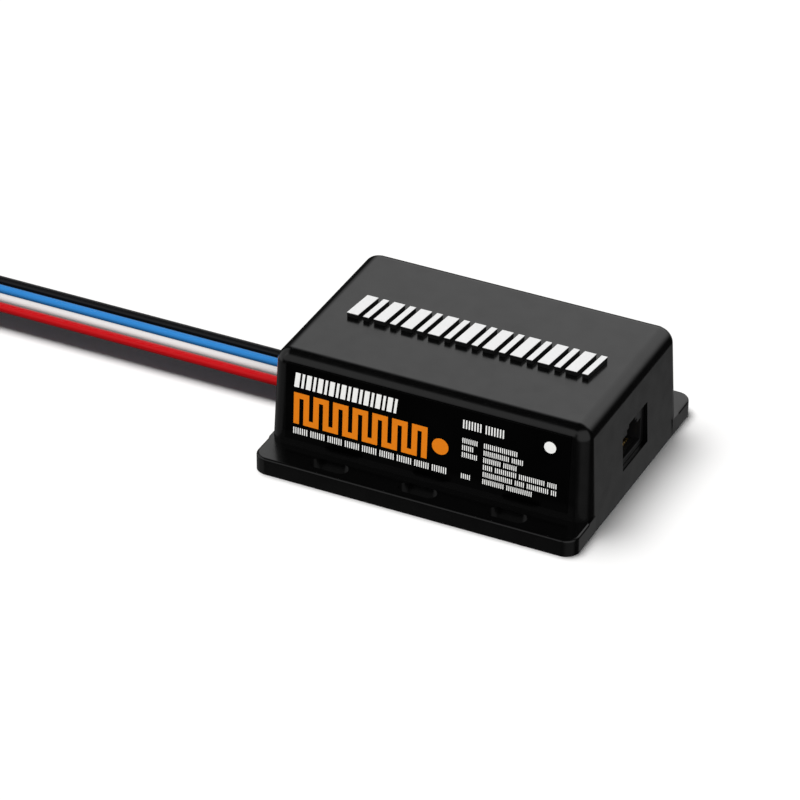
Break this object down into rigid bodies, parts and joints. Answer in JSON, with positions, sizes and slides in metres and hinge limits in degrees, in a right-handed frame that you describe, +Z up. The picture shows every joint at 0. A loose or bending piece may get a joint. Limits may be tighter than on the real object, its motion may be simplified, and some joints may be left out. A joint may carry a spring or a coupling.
{
  "type": "brake controller unit",
  "caption": "Moulded box for an electric trailer brake controller, with slotted mounting flanges, a modular plug jack and power leads.",
  "frame": {"origin": "centre of the underside, on the mounting plane", "axes": "+X towards the plug jack, +Z up away from the mounting plane, -Y towards the labelled wall"},
  "size_m": [0.21, 0.0798, 0.0343],
  "materials": {
    "housing_plastic": "fine satin texture, moulded",
    "cover_plastic": "fine matte texture, moulded",
    "seal_rubber": "matte",
    "screw_steel": "zinc plated",
    "black_screw": "black oxide",
    "label_film": "gloss polyester film with white and orange print",
    "badge_plastic": "gloss",
    "badge_print": "satin white hot-stamp foil",
    "board_laminate": "solder mask over glass laminate",
    "jack_plastic": "satin",
    "carrier_plastic": "satin",
    "contact_gold": "gold plated spring bronze",
    "tinned_metal": "tin plated",
    "terminal_brass": "plain",
    "lead_black_pvc": "smooth extruded",
    "lead_blue_pvc": "smooth extruded",
    "lead_white_pvc": "smooth extruded",
    "lead_red_pvc": "smooth extruded",
    "tail_pvc": "smooth extruded, each tail in its lead's colour",
    "copper": "bare drawn copper",
    "spreader_aluminium": "extruded",
    "pad_silicone": "matte silicone",
    "package_epoxy": "moulded epoxy",
    "capacitor_sleeve": "shrink sleeve",
    "core_powder": "epoxy coated iron powder",
    "crystal_can": "drawn can"
  },
  "bodies": {
    "unit": {"housing": "housing_plastic", "base_plate": "cover_plastic", "base_gasket": "seal_rubber", "base_screws": "black_screw", "front_label": "label_film", "badge_blocks": "badge_plastic", "badge_faces": "badge_print", "circuit_board": "board_laminate", "board_screws": "screw_steel", "jack_shell": "jack_plastic", "contact_carrier": "carrier_plastic", "jack_pins": "tinned_metal", "lead_grommet": "seal_rubber", "lead_clamp": "cover_plastic", "clamp_screws": "screw_steel", "lead_tails": "tail_pvc", "lead_terminals": "terminal_brass", "heat_spreader": "spreader_aluminium", "thermal_pad": "pad_silicone", "power_transistors": "package_epoxy", "transistor_tabs": "tinned_metal", "spreader_screws": "screw_steel", "filter_capacitors": "capacitor_sleeve", "choke_core": "core_powder", "choke_winding": "copper", "current_shunt": "package_epoxy", "shunt_feet": "tinned_metal", "microcontroller": "package_epoxy", "microcontroller_legs": "tinned_metal", "motion_sensor": "package_epoxy", "driver_chips": "package_epoxy", "surge_diodes": "package_epoxy", "crystal": "crystal_can", "chip_resistors": "package_epoxy"},
    "contacts": {"contact_springs": "contact_gold"},
    "lead_bundle": {"lead_black": "lead_black_pvc", "lead_blue": "lead_blue_pvc", "lead_white": "lead_white_pvc", "lead_red": "lead_red_pvc", "lead_strands": "copper"}
  },
  "joints": [
    {"name": "contact_press", "type": "hinge", "parent": "unit", "child": "contacts", "pos_m": [0.04248, 0.00066, 0.0101], "axis": [0, -1, 0], "range_deg": [0, 9], "stiffness_Nm_per_rad": 0.01},
    {"name": "lead_bend", "type": "hinge", "parent": "unit", "child": "lead_bundle", "pos_m": [-0.0502, 0, 0.0064], "axis": [0, 1, 0], "range_deg": [-2, 40]}
  ]
}
